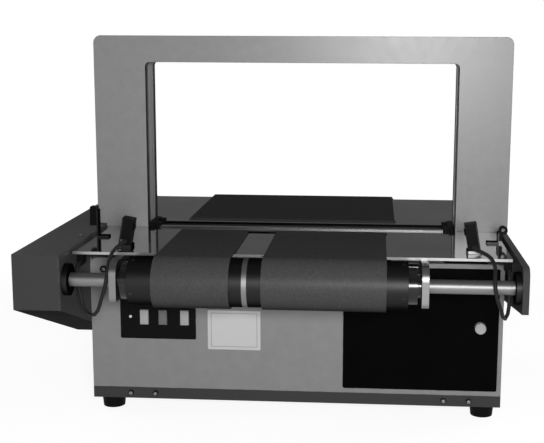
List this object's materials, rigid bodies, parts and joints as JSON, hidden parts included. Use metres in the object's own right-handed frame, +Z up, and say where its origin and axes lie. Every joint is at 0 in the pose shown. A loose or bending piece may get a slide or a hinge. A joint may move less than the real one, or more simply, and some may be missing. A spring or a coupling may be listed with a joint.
{
  "type": "arch strapping machine",
  "caption": "Compact arch strapping machine with powered belt conveyors, a strap arch over a steel table, photo sensors and a cabinet with a sliding smoked door.",
  "frame": {"origin": "floor level under the middle of the machine's footprint", "axes": "+X to the right as the operator faces the console, +Y along the conveyor to the back, +Z up"},
  "size_m": [0.719, 0.6622, 0.584],
  "materials": {
    "paint_grey": "satin",
    "paint_dark": "satin",
    "stainless": "polished",
    "bright_steel": "ground",
    "plate_steel": "milled",
    "aluminium": "machined",
    "drum_steel": "blackened",
    "iron": "painted",
    "belt_black": "matte",
    "rubber_black": "matte",
    "smoked": "gloss",
    "plastic_black": "matte",
    "plastic_light": "satin",
    "plastic_grey": "satin",
    "lamp": "clear"
  },
  "bodies": {
    "frame": {"cabinet_shell": "paint_grey", "front_panel": "paint_grey", "rear_panel": "paint_grey", "arch_front_cover": "paint_grey", "arch_rear_cover": "paint_grey", "control_box": "paint_grey", "base_rail": "paint_dark", "deck_rails": "paint_dark", "drive_housing": "paint_dark", "housing_back_plate": "paint_dark", "side_plate_right": "paint_dark", "arch_feet": "paint_dark", "table_front_plate": "stainless", "table_rear_plate": "stainless", "slot_strip": "stainless", "bearing_plates": "plate_steel", "mechanism_plate": "plate_steel", "arch_track": "aluminium", "shaft_bearings": "drum_steel", "rail_bolts": "drum_steel", "sensor_brackets": "drum_steel", "gear_motor": "iron", "small_motors": "iron", "seal_frame": "iron", "front_belt_left": "belt_black", "front_belt_right": "belt_black", "rear_belt": "belt_black", "drive_belt": "belt_black", "rubber_feet": "rubber_black", "sensor_cable_left": "rubber_black", "sensor_cable_right": "rubber_black", "control_console": "plastic_black", "lead_clips": "plastic_black", "mains_gland": "plastic_black", "slot_guides": "plastic_black", "photo_sensors": "plastic_black", "power_lamp": "lamp"},
    "front_drive": {"front_shaft": "bright_steel", "front_drum_left": "drum_steel", "front_drum_right": "drum_steel", "drum_spacer": "bright_steel", "drum_hubs": "drum_steel", "set_screws": "bright_steel", "front_pulley": "aluminium"},
    "motor_drive": {"motor_pulley": "plate_steel"},
    "rear_drive": {"rear_roller": "drum_steel", "rear_pulley": "aluminium"},
    "front_nose": {"front_nose_roller": "bright_steel"},
    "front_return": {"return_roller": "bright_steel"},
    "rear_nose": {"rear_nose_roller": "bright_steel"},
    "door": {"window_door": "smoked", "door_pull": "plastic_light"},
    "left_button": {"button_left": "plastic_light"},
    "middle_button": {"button_middle": "plastic_grey"},
    "right_button": {"button_right": "plastic_light"},
    "reel": {"reel_hub": "plastic_light"},
    "feed": {"feed_roller": "rubber_black"},
    "pinch": {"pinch_roller": "rubber_black"},
    "cam": {"cam_shaft": "plate_steel"},
    "press": {"press_head": "plate_steel"}
  },
  "joints": [
    {"name": "front_drum_spin", "type": "hinge", "parent": "frame", "child": "front_drive", "pos_m": [0, -0.29385, 0.2405], "axis": [1, 0, 0], "continuous": true},
    {"name": "motor_spin", "type": "hinge", "parent": "frame", "child": "motor_drive", "pos_m": [-0.3195, 0.09815, 0.125], "axis": [1, 0, 0], "continuous": true},
    {"name": "rear_roller_spin", "type": "hinge", "parent": "frame", "child": "rear_drive", "pos_m": [0.0065, 0.30515, 0.259], "axis": [1, 0, 0], "continuous": true},
    {"name": "front_nose_spin", "type": "hinge", "parent": "frame", "child": "front_nose", "pos_m": [0.0065, -0.08515, 0.266], "axis": [1, 0, 0], "continuous": true},
    {"name": "return_roller_spin", "type": "hinge", "parent": "frame", "child": "front_return", "pos_m": [0.0065, -0.20985, 0.2459], "axis": [1, 0, 0], "continuous": true},
    {"name": "rear_nose_spin", "type": "hinge", "parent": "frame", "child": "rear_nose", "pos_m": [0.0065, 0.03145, 0.266], "axis": [1, 0, 0], "continuous": true},
    {"name": "door_slide", "type": "slide", "parent": "frame", "child": "door", "axis": [-1, 0, 0], "range_m": [0, 0.195]},
    {"name": "left_button_press", "type": "slide", "parent": "frame", "child": "left_button", "axis": [0, 1, 0], "range_m": [0, 0.003], "stiffness_N_per_m": 600},
    {"name": "middle_button_press", "type": "slide", "parent": "frame", "child": "middle_button", "axis": [0, 1, 0], "range_m": [0, 0.003], "stiffness_N_per_m": 600},
    {"name": "right_button_press", "type": "slide", "parent": "frame", "child": "right_button", "axis": [0, 1, 0], "range_m": [0, 0.003], "stiffness_N_per_m": 600},
    {"name": "reel_spin", "type": "hinge", "parent": "frame", "child": "reel", "pos_m": [0.2185, -0.01985, 0.1415], "axis": [0, 1, 0], "continuous": true},
    {"name": "feed_spin", "type": "hinge", "parent": "frame", "child": "feed", "pos_m": [0.1245, -0.01885, 0.213], "axis": [0, 1, 0], "continuous": true},
    {"name": "pinch_spin", "type": "hinge", "parent": "frame", "child": "pinch", "pos_m": [0.1245, -0.01885, 0.2466], "axis": [0, 1, 0], "continuous": true},
    {"name": "cam_turn", "type": "hinge", "parent": "frame", "child": "cam", "pos_m": [0.0265, -0.01885, 0.183], "axis": [1, 0, 0], "range_deg": [0, 120]},
    {"name": "press_lift", "type": "slide", "parent": "frame", "child": "press", "axis": [0, 0, 1], "range_m": [0, 0.006]}
  ],
  "couplings": [
    {"joint": "motor_spin", "follows": "front_drum_spin", "ratio": 1.3274},
    {"joint": "rear_roller_spin", "follows": "front_drum_spin", "ratio": 2.0648},
    {"joint": "front_nose_spin", "follows": "front_drum_spin", "ratio": 3.4171},
    {"joint": "return_roller_spin", "follows": "front_drum_spin", "ratio": -3.7749},
    {"joint": "rear_nose_spin", "follows": "front_drum_spin", "ratio": 3.4348},
    {"joint": "pinch_spin", "follows": "feed_spin", "ratio": -1.5385},
    {"joint": "cam_turn", "follows": "press_lift", "rad_per_m": 349.06}
  ]
}
